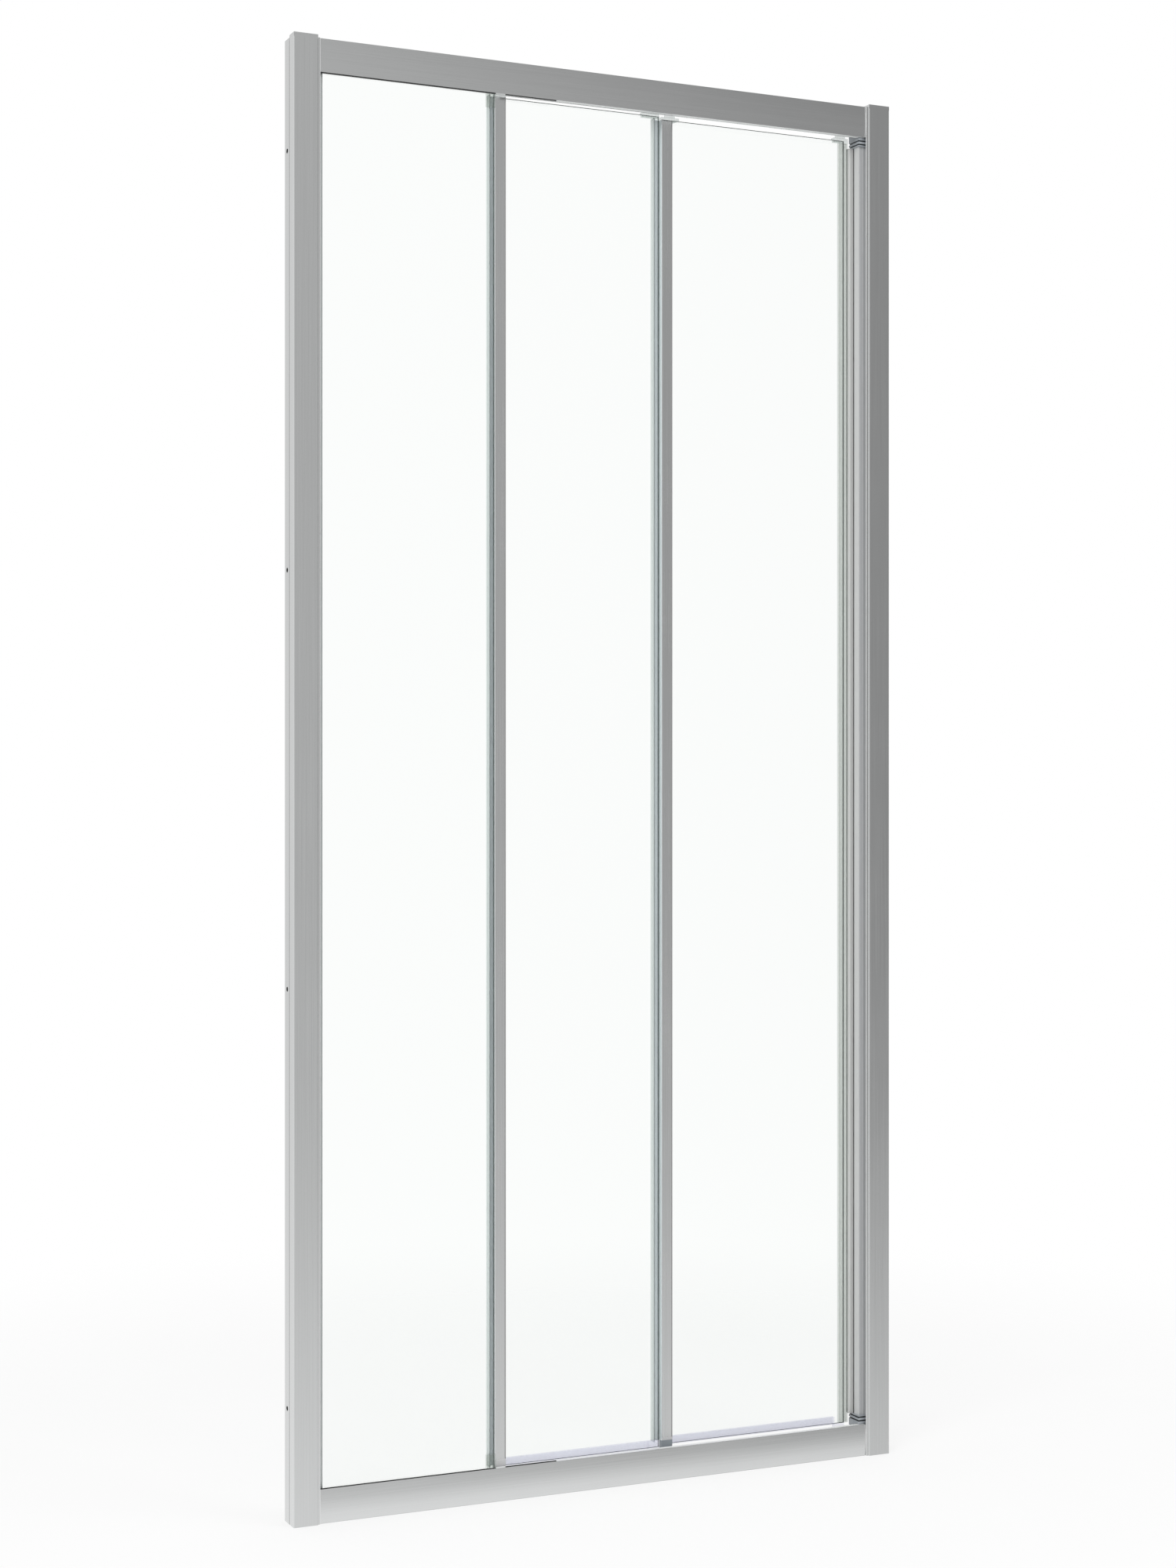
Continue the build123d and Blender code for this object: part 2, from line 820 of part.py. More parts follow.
def save_sliding_panel(panel):
    """Builds and writes every piece of one sliding panel, apart from its right edge seal."""
    pane_space = make_pane(panel, grip_clearance)
    stile = make_stile(panel)
    save(make_pane(panel), f"{panel.name}_glass")
    save(stile, f"{panel.name}_stile")
    save(make_bottom_seal(panel, pane_space), f"{panel.name}_bottom_seal")
    for side, (low, high) in {"left": panel.left_saddle, "right": panel.right_saddle}.items():
        axle_place = middle_of((low, high))
        axle = make_axle(panel, axle_place)
        save(axle, f"{panel.name}_axle_{side}")
        save(make_roller(panel, axle_place), f"{panel.name}_roller_{side}")
        save(make_carrier(panel, low, high, axle, stile, pane_space), f"{panel.name}_carrier_{side}")
    left_guide_top = max(panel.stile_bottom, pane_bottom)
    guide_places = {
        "left": (panel.stile_left, panel.stile_left + stile_width, left_guide_top),
        "right": (panel.pane_right - guide_length, panel.pane_right, panel.right_guide_top),
    }
    for side, (low, high, top) in guide_places.items():
        save(make_guide(panel, low, high, top, stile, pane_space), f"{panel.name}_guide_{side}")


os.makedirs("parts", exist_ok=True)

# Surround, left and right
surround = {
    "wall_channel": make_wall_channel(),
    "upright": make_upright(),
    "cover": make_cover(),
    "top_cap": make_cap(),
    "corner_screws": corner_screws_left,
    "adjuster_screws": make_adjuster_screws_left(),
}
for label, piece in surround.items():
    save(piece, f"{label}_left")
    save(mirrored(piece), f"{label}_right")

# Corner blocks at the closing end
save(make_corner_block(header_bottom, track_bottom, -1), "corner_block_top")
save(make_corner_block(sill_height, sill_second_top, 1), "corner_block_bottom")

# Rails and track stops
save(make_header(), "header_rail")
save(make_sill(), "sill_rail")
save(make_track_stops(), "track_stops")

# Fixed glass
wedge_bottom_top = sill_height + wedge_proud
wedge_top_bottom = header_bottom - wedge_proud
clip_top_bottom = wedge_top_bottom - clip_height
clip_bottom_top = wedge_bottom_top + clip_height
save(fixed_glass, "fixed_glass")
save(make_side_gasket(), "fixed_side_gasket")
for place, low, high in (
    ("top", wedge_top_bottom, wedge_top_bottom + wedge_height),
    ("bottom", wedge_bottom_top - wedge_height, wedge_bottom_top),
):
    save(make_wedge(low, high), f"glazing_wedge_{place}")
    save(make_buffer(low, high), f"track_buffer_{place}")
save(make_backing(header_bottom, fixed_pane_top), "glazing_backing_top")
save(make_backing(sill_floor, sill_first_top), "glazing_backing_bottom")
save(make_setting_blocks(), "setting_blocks")
save(make_clip(clip_top_bottom, wedge_top_bottom), "fixed_edge_clip_top")
save(make_clip(wedge_bottom_top, clip_bottom_top), "fixed_edge_clip_bottom")
save(
    make_catch_seal(fixed_plane, fixed_pane_right, middle, clip_bottom_top, clip_top_bottom, 0),
    "fixed_edge_seal",
)

# Infill of the front track
infill_low = header_bottom + infill_recess
save(make_infill(infill_low, infill_low + infill_height), "track_infill_top")
infill_high = sill_height - infill_recess
save(make_infill(infill_high - infill_height, infill_high), "track_infill_bottom")

# Strike side of the right upright
strike_low = sill_height + block_height
strike_high = header_bottom - block_height
save(make_strike_strip(strike_low, strike_high), "strike_strip")
save(make_strike_bead(strike_low, strike_high), "strike_bead")

# Sliding panels
save_sliding_panel(middle)
save_sliding_panel(closing)
save(
    make_catch_seal(middle_plane, middle_pane_right, closing, bottom_seal_top, carrier_bottom, seal_flap),
    "middle_edge_seal",
)
save(make_closing_seal(pane_bottom, carrier_bottom), "closing_edge_seal")
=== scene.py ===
import functools
import math

import bpy
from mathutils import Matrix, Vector


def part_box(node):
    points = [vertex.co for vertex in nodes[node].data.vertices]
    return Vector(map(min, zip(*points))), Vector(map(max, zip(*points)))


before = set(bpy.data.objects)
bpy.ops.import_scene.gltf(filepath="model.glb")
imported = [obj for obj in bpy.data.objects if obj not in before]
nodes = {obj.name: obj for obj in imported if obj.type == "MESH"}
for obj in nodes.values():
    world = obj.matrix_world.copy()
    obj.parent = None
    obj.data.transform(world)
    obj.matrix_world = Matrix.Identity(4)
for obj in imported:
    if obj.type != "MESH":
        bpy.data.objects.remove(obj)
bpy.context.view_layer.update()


# Places, read from the frame so that the looks follow the pieces; all lengths are in metres

def low(node, axis):
    """Lowest place of a node along one axis."""
    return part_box(node)[0]["XYZ".index(axis)]


def high(node, axis):
    """Highest place of a node along one axis."""
    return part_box(node)[1]["XYZ".index(axis)]


# The surround is the same on both sides, so its places along X are those of the right-hand side
LIP_REACH = 0.0035
outer_x = high("cover_right", "X")
lip_x = low("cover_right", "X") - LIP_REACH
inner_wall_x = low("upright_right", "X")
joint_y = high("cover_right", "Y")
pocket_back_y = high("track_infill_bottom", "Y")
bead_y = (low("strike_bead", "Y") + high("strike_bead", "Y")) / 2

# Foot of the stiles' fronts, up to a little above the sill, which gets painted light in place of
# its dark reflection
FOOT_RISE = 0.0085
foot_top = high("sill_rail", "Z") + FOOT_RISE

# Middle heights of the corner blocks' slots, which get painted shade, from the ends where the two
# blocks face each other
SLOT_INSETS = (0.0023, 0.0073)
slot_heights = [high("corner_block_bottom", "Z") - inset for inset in SLOT_INSETS]
slot_heights += [low("corner_block_top", "Z") + inset for inset in SLOT_INSETS]

# How far from its place a face or line still counts
PLACE_TOLERANCE = 0.0003
JOINT_HALF = 0.0006
# Reach of the black band painted on the inner wall either side of the bead
BEAD_BAND_REACH = 0.001
# Half height of the painted shade in a slot
SLOT_HALF = 0.0011

# The stile's metal starts one wall before its glass, and its front has painted highlight along its
# left side and painted shade along its right side
STILE_WALL = 0.0015
LEFT_HIGHLIGHT_WIDTH = 0.0011
RIGHT_SHADE_WIDTH = 0.0016

# Part of a face's direction along an axis at which the face counts as turned to it, or square to it
TURNED_TO = 0.5
SQUARE_TO = 0.7


# Looks

# Satin metal: tones as shares of its colour, how much grain and clouds change its roughness,
# and the small bevel of its edges, with its angle in degrees
METAL_COLOUR = (0.74, 0.75, 0.75)
METAL_DARK = 0.965
METAL_PALE = 1.02
METAL_ROUGHNESS = 0.2
STILE_ROUGHNESS = 0.25
ROUGHNESS_GRAIN = 0.03
ROUGHNESS_CLOUD = 0.02
METAL_BUMP = 0.04
EDGE_BEVEL = 0.00025
BEVEL_SEGMENTS = 2
BEVEL_ANGLE = 50

# Noise scales
GRAIN_FINE = 1400.0
GRAIN_LONG = 5.0
METAL_CLOUD = 9.0
TURNING_MARKS = 2500.0
SMEAR = (3.0, 3.0, 2.0)
STREAK_FINE = 700.0
STREAK_LONG = 6.0
MOULD_GRAIN = 2200.0
MOULD_CLOUD = 60.0
BLOCK_CLOUD = 90.0
FLOOR_CLOUD = 4.0

# Depth of the relief that a bump stands for
RELIEF = 0.0002

# Dull faces of the metal: how much of the metallic look they lose, their roughness and their tones.
# Apart from the dark joint, the tones are painted light and shade
DULL_LOSS = 0.9
DULL_ROUGHNESS = 0.5
# Painted light: matt tones of the pocket's back and inner wall, lifted against the pocket's shade
# in place of the metal's reflections
POCKET_PAINTED_LIGHT = (0.52, 0.53, 0.54)
INNER_WALL_PAINTED_LIGHT = (0.73, 0.735, 0.735)
# Painted highlight on the side face of the lip
LIP_PAINTED_HIGHLIGHT = (0.86, 0.865, 0.865)
# Black band painted on the inner wall either side of the bead, which widens the bead's dark line
BEAD_BAND_TONE = (0.03, 0.03, 0.03)
JOINT_TONE = (0.04, 0.04, 0.04)
# Painted light: pale tones for the web and side face in the hook's cavity, which make up for its
# shade
WEB_PAINTED_LIGHT = (0.92, 0.96, 1.0)
SIDE_PAINTED_LIGHT = (0.84, 0.87, 0.865)
# Painted highlight along the left side of a stile's front, faint on the closing stile, and painted
# shade along its right side
LEFT_EDGE_HIGHLIGHTS = {"middle": (0.80, 0.81, 0.81), "closing": (0.42, 0.42, 0.42)}
RIGHT_EDGE_SHADE = (0.26, 0.26, 0.26)
# Painted light on the foot of a stile's front
FOOT_PAINTED_LIGHT = (0.60, 0.60, 0.605)

# Glass: GLASS_LIGHT is what it lets through of lamp and bounced light
GLASS_TINT = (0.985, 1.0, 0.99)
GLASS_LIGHT = (0.97, 0.985, 0.975)
GLASS_EDGE = (0.02, 0.032, 0.028)
GLASS_EDGE_PALE = (0.035, 0.055, 0.048)
GLASS_IOR = 1.5
GLASS_ROUGHEST = 0.01
GLASS_EDGE_ROUGHNESS = 0.3

# Plastics: a film's streaks change its roughness between two shares of it, and its haze more
# than its tint
FILM_IOR = 1.4
STREAK_ROUGHNESS = (0.8, 1.25)
STREAK_HAZE = 3.0
MOULD_DARK = 0.94
BLOCK_DARK = 0.84
MOULD_VARIATION = 0.06
BLOCK_ROUGHNESS = (0.34, 0.46)
BLOCK_BUMP = 0.05

# Steel
STEEL_DARK = (0.55, 0.55, 0.54)
STEEL_PALE = (0.68, 0.68, 0.68)
STEEL_ROUGHNESS = (0.24, 0.38)

# The part of a noise's range that is used
NOISE_START = 0.3
NOISE_END = 0.7


def shaded(colour, share):
    """A colour times a number, no brighter than white."""
    return tuple(min(1.0, share * c) for c in colour)


def even(scale):
    """Noise scale that is the same along every axis."""
    return (scale, scale, scale)


def stretched(axis, across, along):
    """Noise scale that is fine across a profile and long along it."""
    return tuple(along if a == axis else across for a in "XYZ")


class Nodes:
    """A node tree with a few shortcuts for its nodes."""

    def __init__(self, tree):
        self.tree = tree
        self.tree.nodes.clear()
        self.coordinates = None

    def node(self, kind, **settings):
        made = self.tree.nodes.new("ShaderNode" + kind)
        for key, value in settings.items():
            setattr(made, key, value)
        return made

    def link(self, source, target):
        self.tree.links.new(source, target)

    def put(self, socket, value):
        """Gives a socket a number, a colour or a link."""
        if isinstance(value, tuple):
            socket.default_value = (*value, 1.0)
        elif isinstance(value, (int, float)):
            socket.default_value = value
        else:
            self.link(value, socket)

    def part(self, vector, axis):
        """One part of a vector."""
        parts = self.node("SeparateXYZ")
        self.link(vector, parts.inputs["Vector"])
        return parts.outputs[axis]

    def math(self, operation, *values):
        made = self.node("Math", operation=operation)
        for socket, value in zip(made.inputs, values):
            self.put(socket, value)
        return made.outputs["Value"]

    def either(self, *values):
        """The highest of some values, which says whether any of some masks holds."""
        return functools.reduce(lambda first, second: self.math("MAXIMUM", first, second), values)

    def both(self, first, second):
        """Whether two masks hold."""
        return self.math("MULTIPLY", first, second)

    def near(self, value, place, reach=PLACE_TOLERANCE):
        """Whether a value is within reach of a place."""
        return self.math("COMPARE", value, place, reach)

    def size_of(self, value):
        return self.math("ABSOLUTE", value)

    def blend(self, factor, first, second):
        """Colour between two colours."""
        made = self.node("Mix", data_type="RGBA")
        self.link(factor, made.inputs["Factor"])
        self.put(made.inputs["A"], first)
        self.put(made.inputs["B"], second)
        return made.outputs["Result"]

    def between(self, factor, first, second):
        """Number between two numbers."""
        made = self.node("Mix", data_type="FLOAT")
        self.link(factor, made.inputs["Factor"])
        self.put(made.inputs["A"], first)
        self.put(made.inputs["B"], second)
        return made.outputs["Result"]

    def step(self, value, start, end):
        """Softly from 0 to 1 as the value goes from start to end."""
        made = self.node("MapRange", interpolation_type="SMOOTHSTEP")
        made.inputs["From Min"].default_value = start
        made.inputs["From Max"].default_value = end
        self.link(value, made.inputs["Value"])
        return made.outputs["Result"]

    def seen(self):
        """Whether a ray comes from the camera, straight or through glass."""
        paths = self.node("LightPath")
        return self.either(paths.outputs["Is Camera Ray"], paths.outputs["Is Transmission Ray"])


class Shader(Nodes):
    """A new material."""

    def __init__(self, name):
        self.material = bpy.data.materials.new(name)
        self.material.use_nodes = True
        super().__init__(self.material.node_tree)
        self.output = self.node("OutputMaterial")

    def finish(self, socket):
        self.link(socket, self.output.inputs["Surface"])
        return self.material

    def place(self):
        """Position in the row frame, which is every object's own frame."""
        if self.coordinates is None:
            self.coordinates = self.node("TexCoord").outputs["Object"]
        return self.coordinates

    def along(self, axis):
        """One coordinate of the place in the row frame."""
        return self.part(self.place(), axis)

    def normal(self, axis):
        """One part of the direction that a face looks in."""
        return self.part(self.node("NewGeometry").outputs["Normal"], axis)

    def noise(self, scale, detail=2.0, roughness=0.5):
        """Noise stretched by a scale for each axis."""
        mapping = self.node("Mapping")
        mapping.inputs["Scale"].default_value = scale
        self.link(self.place(), mapping.inputs["Vector"])
        made = self.node("TexNoise")
        made.inputs["Scale"].default_value = 1.0
        made.inputs["Detail"].default_value = detail
        made.inputs["Roughness"].default_value = roughness
        self.link(mapping.outputs["Vector"], made.inputs["Vector"])
        return made.outputs["Fac"]

    def spread(self, noise, first, last):
        """A number between two limits that follows a noise."""
        made = self.node("MapRange")
        made.inputs["From Min"].default_value = NOISE_START
        made.inputs["From Max"].default_value = NOISE_END
        made.inputs["To Min"].default_value = first
        made.inputs["To Max"].default_value = last
        self.link(noise, made.inputs["Value"])
        return made.outputs["Result"]

    def tinted(self, noise, first, last):
        """A colour between two colours that follows a noise."""
        return self.blend(self.spread(noise, 0.0, 1.0), first, last)

    def bump(self, height, strength):
        made = self.node("Bump")
        made.inputs["Strength"].default_value = strength
        made.inputs["Distance"].default_value = RELIEF
        self.link(height, made.inputs["Height"])
        return made.outputs["Normal"]

    def principled(self, **values):
        """Principled shader; sockets get numbers, colours or links."""
        made = self.node("BsdfPrincipled")
        for key, value in values.items():
            self.put(made.inputs[key.replace("_", " ")], value)
        return made.outputs["BSDF"]

    def mix(self, factor, first, second):
        """Shader between two shaders."""
        made = self.node("MixShader")
        for socket, source in zip(made.inputs, (factor, first, second)):
            self.link(source, socket)
        return made.outputs["Shader"]

    def lets_light_through(self, socket, tint):
        """The shader as seen, with lamp and bounced light passing straight through it."""
        paths = self.node("LightPath")
        passing = self.either(paths.outputs["Is Shadow Ray"], paths.outputs["Is Diffuse Ray"])
        clear = self.node("BsdfTransparent")
        self.put(clear.inputs["Color"], tint)
        return self.mix(passing, socket, clear.outputs["BSDF"])


def satin_metal(name, axis, roughness=METAL_ROUGHNESS, dull_faces=None):
    """Anodised extrusion: fine die lines along the profile and a faint cloudiness.

    dull_faces is called with the shader and gives how dull each place is and the tone there, which
    apart from a dark joint is painted light and shade.
    """
    s = Shader(name)
    lines = s.noise(stretched(axis, GRAIN_FINE, GRAIN_LONG), detail=3.0, roughness=0.6)
    cloud = s.noise(even(METAL_CLOUD), detail=3.0)
    dark = shaded(METAL_COLOUR, METAL_DARK)
    pale = shaded(METAL_COLOUR, METAL_PALE)
    tone = s.tinted(lines, dark, pale)
    grain = s.spread(lines, roughness - ROUGHNESS_GRAIN, roughness + ROUGHNESS_GRAIN)
    rough = s.math("ADD", grain, s.spread(cloud, -ROUGHNESS_CLOUD, ROUGHNESS_CLOUD))
    normal = s.bump(lines, METAL_BUMP)
    if dull_faces is None:
        surface = s.principled(Base_Color=tone, Metallic=1.0, Roughness=rough, Normal=normal)
        return s.finish(surface)
    dull, joint_and_painted_tone = dull_faces(s)
    return s.finish(s.principled(
        Base_Color=s.blend(dull, tone, joint_and_painted_tone),
        Metallic=s.math("MULTIPLY_ADD", dull, -DULL_LOSS, 1.0),
        Roughness=s.math("MAXIMUM", rough, s.math("MULTIPLY", dull, DULL_ROUGHNESS)),
        Normal=normal,
    ))


def dull_joint(s):
    """The dark line where wall channel and cover meet on the outer side."""
    outer = s.near(s.size_of(s.along("X")), outer_x)
    return s.both(outer, s.near(s.along("Y"), joint_y, JOINT_HALF)), JOINT_TONE


def matt_pocket_painted_light(s):
    """The upright's pocket back and inner wall, matt with painted light in place of their
    reflections, the lip edge with a painted highlight, and a black band painted on the wall either
    side of the bead.
    """
    width = s.size_of(s.along("X"))
    depth = s.along("Y")
    back = s.near(depth, pocket_back_y)
    inner = s.near(width, inner_wall_x)
    lip = s.near(width, lip_x)
    bead = s.both(inner, s.near(depth, bead_y, BEAD_BAND_REACH))
    tone = s.blend(lip, s.blend(inner, POCKET_PAINTED_LIGHT, INNER_WALL_PAINTED_LIGHT), LIP_PAINTED_HIGHLIGHT)
    return s.either(back, inner, lip), s.blend(bead, tone, BEAD_BAND_TONE)


def matt_hook_painted_light(stile_left, stile_right, left_highlight_tone):
    """A stile's hook, behind the seal of the next pane, with painted light in its cavity, and the
    painted highlight, painted shade and painted light on the sides and foot of its front.
    """
    def faces(s):
        across = s.along("X")
        hook = s.math("LESS_THAN", across, stile_left + PLACE_TOLERANCE)
        not_back = s.math("LESS_THAN", s.normal("Y"), TURNED_TO)
        sideways = s.math("GREATER_THAN", s.size_of(s.normal("X")), SQUARE_TO)
        front = s.math("LESS_THAN", s.normal("Y"), -TURNED_TO)
        left_highlight = s.math("LESS_THAN", across, stile_left + LEFT_HIGHLIGHT_WIDTH)
        right_shade = s.math("GREATER_THAN", across, stile_right - RIGHT_SHADE_WIDTH)
        foot = s.math("LESS_THAN", s.along("Z"), foot_top)
        edge_light_and_shade = s.blend(right_shade, left_highlight_tone, RIGHT_EDGE_SHADE)
        hook_painted_light = s.blend(sideways, WEB_PAINTED_LIGHT, SIDE_PAINTED_LIGHT)
        tone = s.blend(hook, s.blend(foot, edge_light_and_shade, FOOT_PAINTED_LIGHT), hook_painted_light)
        edges = s.either(left_highlight, right_shade, foot)
        return s.either(s.both(hook, not_back), s.both(front, edges)), tone
    return faces


def stile_metal(panel):
    """Satin metal of one stile, with a dull hook, and painted light and shade on its front's sides
    and foot.
    """
    stile_left = low(f"{panel}_glass", "X") - STILE_WALL
    stile_right = high(f"{panel}_stile", "X")
    hook = matt_hook_painted_light(stile_left, stile_right, LEFT_EDGE_HIGHLIGHTS[panel])
    name = f"satin_metal_{panel}_stile"
    return satin_metal(name, "Z", roughness=STILE_ROUGHNESS, dull_faces=hook)


def plain_steel(name):
    """Zinc-plated steel with faint turning marks."""
    s = Shader(name)
    marks = s.noise(even(TURNING_MARKS))
    tone = s.tinted(marks, STEEL_DARK, STEEL_PALE)
    rough = s.spread(marks, *STEEL_ROUGHNESS)
    return s.finish(s.principled(Base_Color=tone, Metallic=1.0, Roughness=rough))


def clear_pane(name):
    """Float glass: see-through faces, dark green polished edges."""
    s = Shader(name)
    face = s.math("GREATER_THAN", s.size_of(s.normal("Y")), SQUARE_TO)
    smear = s.noise(SMEAR, detail=4.0)
    body = s.principled(
        Base_Color=GLASS_TINT,
        Roughness=s.spread(smear, 0.0, GLASS_ROUGHEST),
        IOR=GLASS_IOR,
        Transmission_Weight=1.0,
    )
    edge = s.principled(
        Base_Color=s.tinted(smear, GLASS_EDGE, GLASS_EDGE_PALE),
        Roughness=GLASS_EDGE_ROUGHNESS,
        Specular_IOR_Level=0.0,
    )
    return s.finish(s.lets_light_through(s.mix(face, edge, body), GLASS_LIGHT))


def clear_plastic(name, tint, haze, body, roughness, axis="Z", streaks=0.01):
    """Thin clear plastic: each wall dims what is behind it by the tint and adds a little haze.

    body is the colour of the haze, and streaks is how much tint and haze vary along the profile.
    """
    s = Shader(name)
    lines = s.noise(stretched(axis, STREAK_FINE, STREAK_LONG))
    clear = s.node("BsdfTransparent")
    s.link(s.tinted(lines, shaded(tint, 1.0 - streaks), tint), clear.inputs["Color"])
    rough = s.spread(lines, *[share * roughness for share in STREAK_ROUGHNESS])
    surface = s.principled(Base_Color=body, Roughness=rough, IOR=FILM_IOR)
    change = STREAK_HAZE * streaks
    share = s.spread(lines, haze * (1.0 + change), haze * (1.0 - change))
    return s.finish(s.mix(share, clear.outputs["BSDF"], surface))


def moulded(name, colour, roughness=0.45, grain=0.04):
    """Moulded plastic with a fine even texture."""
    s = Shader(name)
    fine = s.noise(even(MOULD_GRAIN))
    broad = s.noise(even(MOULD_CLOUD))
    tone = s.tinted(broad, shaded(colour, MOULD_DARK), colour)
    rough = s.spread(fine, roughness - MOULD_VARIATION, roughness + MOULD_VARIATION)
    normal = s.bump(fine, grain)
    return s.finish(s.principled(Base_Color=tone, Roughness=rough, Normal=normal))


def slotted_block(name, colour, slot_painted_shade):
    """Moulded corner block, with painted shade in its slots."""
    s = Shader(name)
    fine = s.noise(even(MOULD_GRAIN))
    broad = s.noise(even(BLOCK_CLOUD), detail=3.0)
    tone = s.tinted(broad, shaded(colour, BLOCK_DARK), colour)
    height = s.along("Z")
    inside = s.either(*[s.near(height, place, SLOT_HALF) for place in slot_heights])
    return s.finish(s.principled(
        Base_Color=s.blend(inside, tone, slot_painted_shade),
        Roughness=s.spread(fine, *BLOCK_ROUGHNESS),
        Normal=s.bump(fine, BLOCK_BUMP),
    ))


metal_upright = satin_metal("satin_metal_upright", "Z", dull_faces=dull_joint)
metal_pocket = satin_metal("satin_metal_pocket", "Z", dull_faces=matt_pocket_painted_light)
metal_rail = satin_metal("satin_metal_rail", "X")
cap_metal = satin_metal("satin_cap", "X")
steel = plain_steel("plated_steel")
pane = clear_pane("float_glass")
seal = clear_plastic(
    "clear_seal",
    tint=(0.982, 0.99, 0.989),
    haze=0.015,
    body=(0.60, 0.63, 0.62),
    roughness=0.12,
)
clip_plastic = clear_plastic(
    "clear_clip",
    tint=(0.915, 0.928, 0.918),
    haze=0.06,
    body=(0.56, 0.60, 0.58),
    roughness=0.2,
    streaks=0.04,
)
green_seal = clear_plastic(
    "green_seal",
    tint=(0.893, 0.902, 0.894),
    haze=0.06,
    body=(0.62, 0.66, 0.63),
    roughness=0.25,
    streaks=0.04,
)
strike_plastic = clear_plastic(
    "strike_plastic",
    tint=(0.93, 0.935, 0.93),
    haze=0.6,
    body=(0.74, 0.745, 0.735),
    roughness=0.35,
)
wiper = clear_plastic(
    "wiper_plastic",
    tint=(0.96, 0.96, 0.982),
    haze=0.12,
    body=(0.75, 0.75, 0.86),
    roughness=0.4,
    axis="X",
)
carrier_plastic = clear_plastic(
    "carrier_plastic",
    tint=(0.90, 0.915, 0.91),
    haze=0.12,
    body=(0.62, 0.65, 0.64),
    roughness=0.2,
    streaks=0.04,
)
black = moulded("black_gasket", (0.02, 0.02, 0.02), roughness=0.6, grain=0.1)
pale = moulded("pale_strip", (0.88, 0.89, 0.89))
grey = moulded("grey_plastic", (0.30, 0.33, 0.36))
nylon = moulded("white_nylon", (0.82, 0.82, 0.80), roughness=0.35)
# The corner blocks' last colour is the painted shade in their slots
block_grey = slotted_block("slotted_block", (0.40, 0.43, 0.46), (0.05, 0.055, 0.06))

LOOKS = {
    "wall_channel": metal_upright,
    "upright": metal_pocket,
    "cover": metal_upright,
    "top_cap": cap_metal,
    "corner_screws": steel,
    "adjuster_screws": steel,
    "corner_block": block_grey,
    "header_rail": metal_rail,
    "sill_rail": metal_rail,
    "track_stops": black,
    "fixed_glass": pane,
    "fixed_side_gasket": black,
    "glazing_wedge": black,
    "track_buffer": black,
    "glazing_backing": black,
    "setting_blocks": black,
    "fixed_edge_clip": clip_plastic,
    "fixed_edge_seal": seal,
    "track_infill": pale,
    "strike_strip": strike_plastic,
    "strike_bead": black,
    "glass": pane,
    "middle_stile": stile_metal("middle"),
    "closing_stile": stile_metal("closing"),
    "bottom_seal": wiper,
    "carrier": carrier_plastic,
    "axle": steel,
    "guide_left": grey,
    "guide_right": wiper,
    "roller": nylon,
    "middle_edge_seal": seal,
    "closing_edge_seal": green_seal,
}
ENDS = ("_left", "_right", "_top", "_bottom")


def look_of(node):
    """The material of a node, by its name with or without its side and panel."""
    names = [node, node.split("_", 1)[-1]]
    for name in list(names):
        if name.endswith(ENDS):
            names.append(name.rsplit("_", 1)[0])
    return next(LOOKS[name] for name in names if name in LOOKS)


def round_edges(piece):
    """Small bevel that lets a metal edge catch the light."""
    bevel = piece.modifiers.new("edge", "BEVEL")
    bevel.width = EDGE_BEVEL
    bevel.segments = BEVEL_SEGMENTS
    bevel.limit_method = "ANGLE"
    bevel.angle_limit = math.radians(BEVEL_ANGLE)


for name, piece in nodes.items():
    look = look_of(name)
    piece.data.materials.clear()
    piece.data.materials.append(look)
    if look.name.startswith("satin_"):
        round_edges(piece)


# Floor: a pale disc that fades into the white background and keeps the shadow

FLOOR_RADIUS = 2.4
FLOOR_SIDES = 96
FLOOR_TONES = ((0.955, 0.955, 0.955), (0.97, 0.97, 0.97))
FLOOR_FADE_START = 0.8
FLOOR_FADE_END = 2.0
# Share of plain white in what the camera sees of the floor
FLOOR_LIFT = 0.7


def make_floor():
    bpy.ops.mesh.primitive_circle_add(
        vertices=FLOOR_SIDES, radius=FLOOR_RADIUS, fill_type="NGON",
    )
    floor = bpy.context.object
    floor.name = "floor"
    s = Shader("pale_floor")
    reach = s.node("VectorMath", operation="LENGTH")
    s.link(s.place(), reach.inputs[0])
    gone = s.step(reach.outputs["Value"], FLOOR_FADE_START, FLOOR_FADE_END)
    diffuse = s.node("BsdfDiffuse")
    s.link(s.tinted(s.noise(even(FLOOR_CLOUD)), *FLOOR_TONES), diffuse.inputs["Color"])
    white = s.node("Emission")
    lift = s.math("MULTIPLY", s.seen(), FLOOR_LIFT)
    lifted = s.mix(lift, diffuse.outputs["BSDF"], white.outputs["Emission"])
    clear = s.node("BsdfTransparent")
    floor.data.materials.append(s.finish(s.mix(gone, lifted, clear.outputs["BSDF"])))
    floor.visible_glossy = False


make_floor()


# World: white to the camera and through glass, even light on matt surfaces,
# and for reflections a pale room that is darker on the right in front and behind

AMBIENT = 0.72
# Brightness of the room by azimuth, in degrees from the front towards the right
ROOM = (
    (-180, 0.60),
    (-168, 0.70),
    (-156, 0.825),
    (-140, 0.83),
    (-90, 0.84),
    (-10, 0.84),
    (5, 0.73),
    (18, 0.525),
    (31, 0.305),
    (40, 0.20),
    (55, 0.20),
    (80, 0.45),
    (110, 0.66),
    (160, 0.58),
    (180, 0.60),
)
# Brightness below and above the room, and the heights in degrees where it turns into them
GROUND = 0.97
GROUND_START = -4
GROUND_END = -24
ZENITH = 0.92
ZENITH_START = 35
ZENITH_END = 80


def share_of_turn(angle):
    """An azimuth in degrees as a share of the full turn that starts behind the door."""
    return (angle + 180) / 360


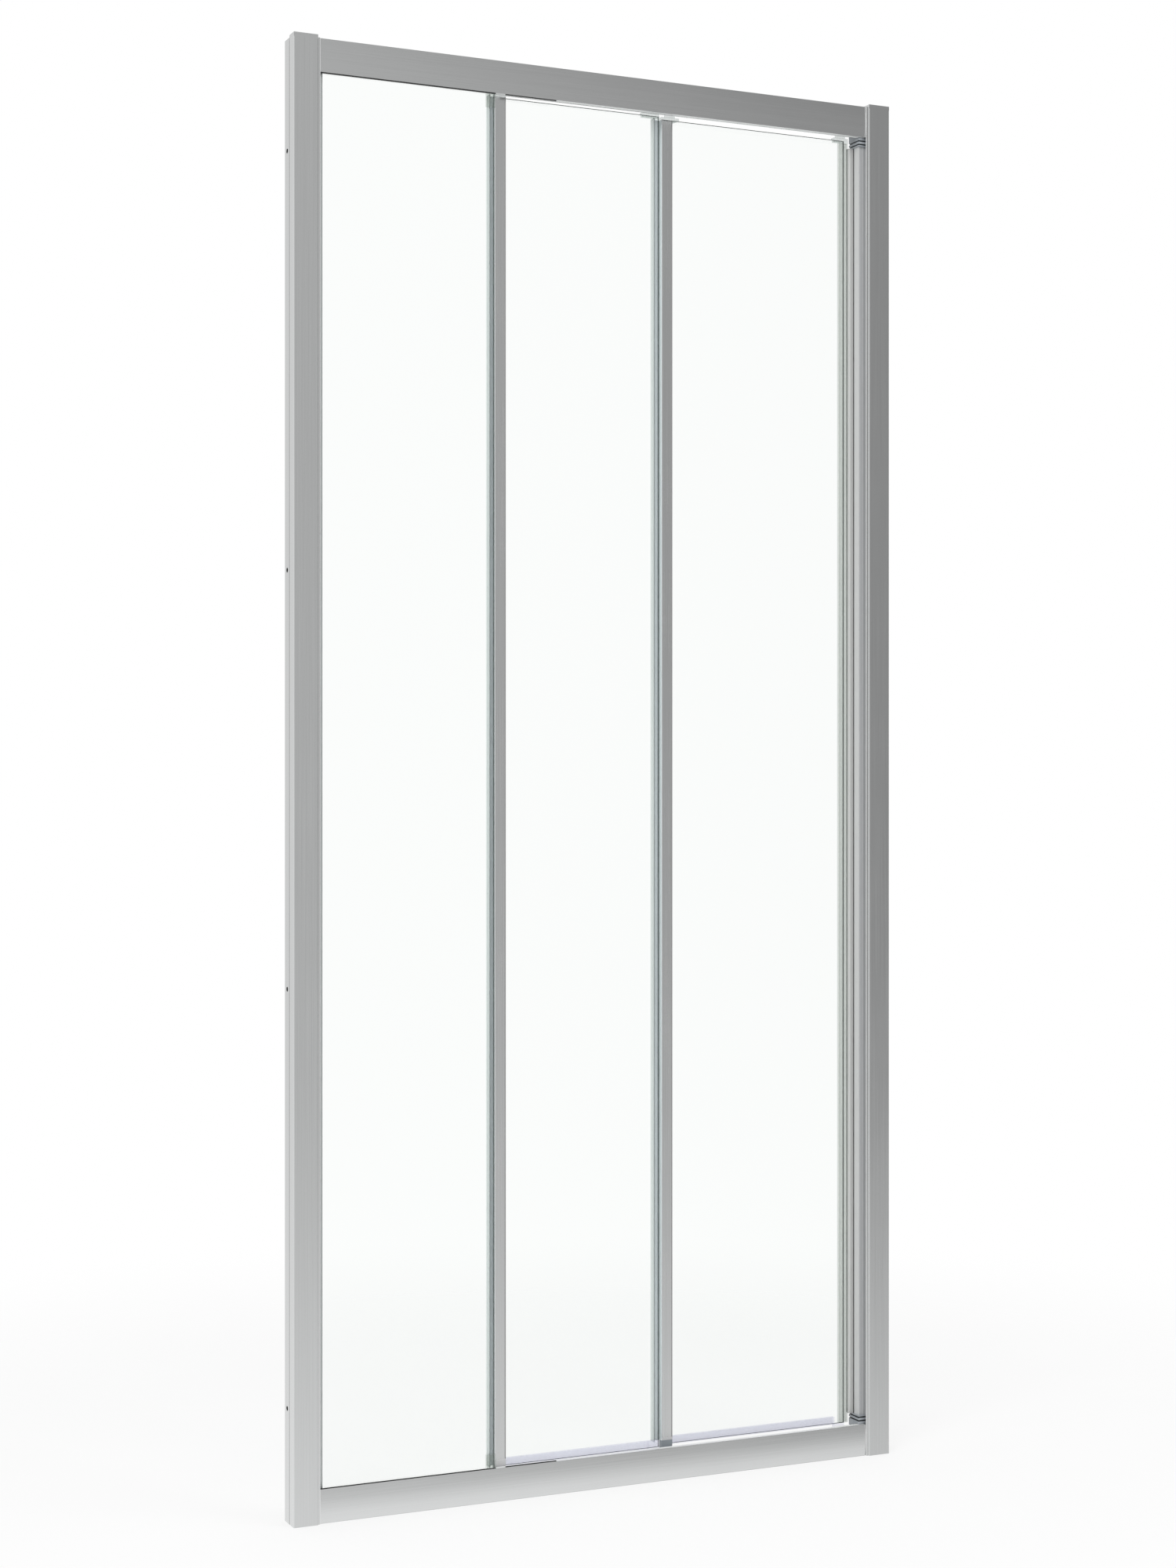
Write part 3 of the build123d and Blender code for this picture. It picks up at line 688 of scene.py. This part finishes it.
def room_ramp(world):
    """Colour ramp of the room's brightness over one turn."""
    made = world.node("ValToRGB")
    made.color_ramp.interpolation = "LINEAR"
    stops = made.color_ramp.elements
    stops.remove(stops[-1])
    for angle, _ in ROOM[1:]:
        stops.new(share_of_turn(angle))
    for stop, (angle, level) in zip(stops, ROOM):
        stop.position = share_of_turn(angle)
        stop.color = (level, level, level, 1.0)
    return made


def make_world():
    world = bpy.data.worlds.new("studio")
    bpy.context.scene.world = world
    world.use_nodes = True
    world.cycles.sampling_method = "NONE"
    w = Nodes(world.node_tree)
    direction = w.node("TexCoord").outputs["Generated"]
    toward_front = w.math("MULTIPLY", w.part(direction, "Y"), -1.0)
    azimuth = w.math("ARCTAN2", w.part(direction, "X"), toward_front)
    ramp = room_ramp(w)
    w.link(w.math("MULTIPLY_ADD", azimuth, 1 / math.tau, 0.5), ramp.inputs["Fac"])
    height = w.math("ARCSINE", w.part(direction, "Z"))
    below = w.step(height, math.radians(GROUND_START), math.radians(GROUND_END))
    above = w.step(height, math.radians(ZENITH_START), math.radians(ZENITH_END))
    room = w.between(above, w.between(below, ramp.outputs["Color"], GROUND), ZENITH)
    glossy = w.node("LightPath").outputs["Is Glossy Ray"]
    background = w.node("Background")
    w.put(background.inputs["Color"], (1.0, 1.0, 1.0))
    level = w.between(w.seen(), w.between(glossy, AMBIENT, room), 1.0)
    w.link(level, background.inputs["Strength"])
    w.link(background.outputs["Background"], w.node("OutputWorld").inputs["Surface"])


make_world()


# Lamps: two soft boxes that give the matt parts and the floor their shading

LAMP_SIZE = 2.4
LAMP_AIM = (0.0, 0.0, 0.8)
# Name, place and power in watts of each
LAMPS = (
    ("soft_box_left", (-2.6, -2.8, 3.4), 72.0),
    ("soft_box_right", (2.4, -3.2, 2.6), 34.0),
)


def make_lamp(name, place, power):
    data = bpy.data.lights.new(name, "AREA")
    data.shape = "SQUARE"
    data.size = LAMP_SIZE
    data.energy = power
    lamp = bpy.data.objects.new(name, data)
    bpy.context.scene.collection.objects.link(lamp)
    lamp.location = place
    look = Vector(LAMP_AIM) - lamp.location
    lamp.rotation_euler = look.to_track_quat("-Z", "Y").to_euler()
    lamp.visible_camera = False
    lamp.visible_glossy = False
    lamp.visible_transmission = False


for lamp in LAMPS:
    make_lamp(*lamp)


# Camera, as solved from the photograph's straight edges

LENS = 58.86
SENSOR = 36.0
SHIFT_Y = -0.0008
CAMERA_PLACE = (-1.486, -3.216, 0.971)
CAMERA_TURN = (90.0, 0.0, -24.5)

camera_data = bpy.data.cameras.new("camera")
camera_data.lens = LENS
camera_data.sensor_width = SENSOR
camera_data.shift_y = SHIFT_Y
camera = bpy.data.objects.new("camera", camera_data)
bpy.context.scene.collection.objects.link(camera)
camera.location = CAMERA_PLACE
camera.rotation_euler = [math.radians(angle) for angle in CAMERA_TURN]
bpy.context.scene.camera = camera
bpy.context.scene.view_settings.view_transform = "Standard"
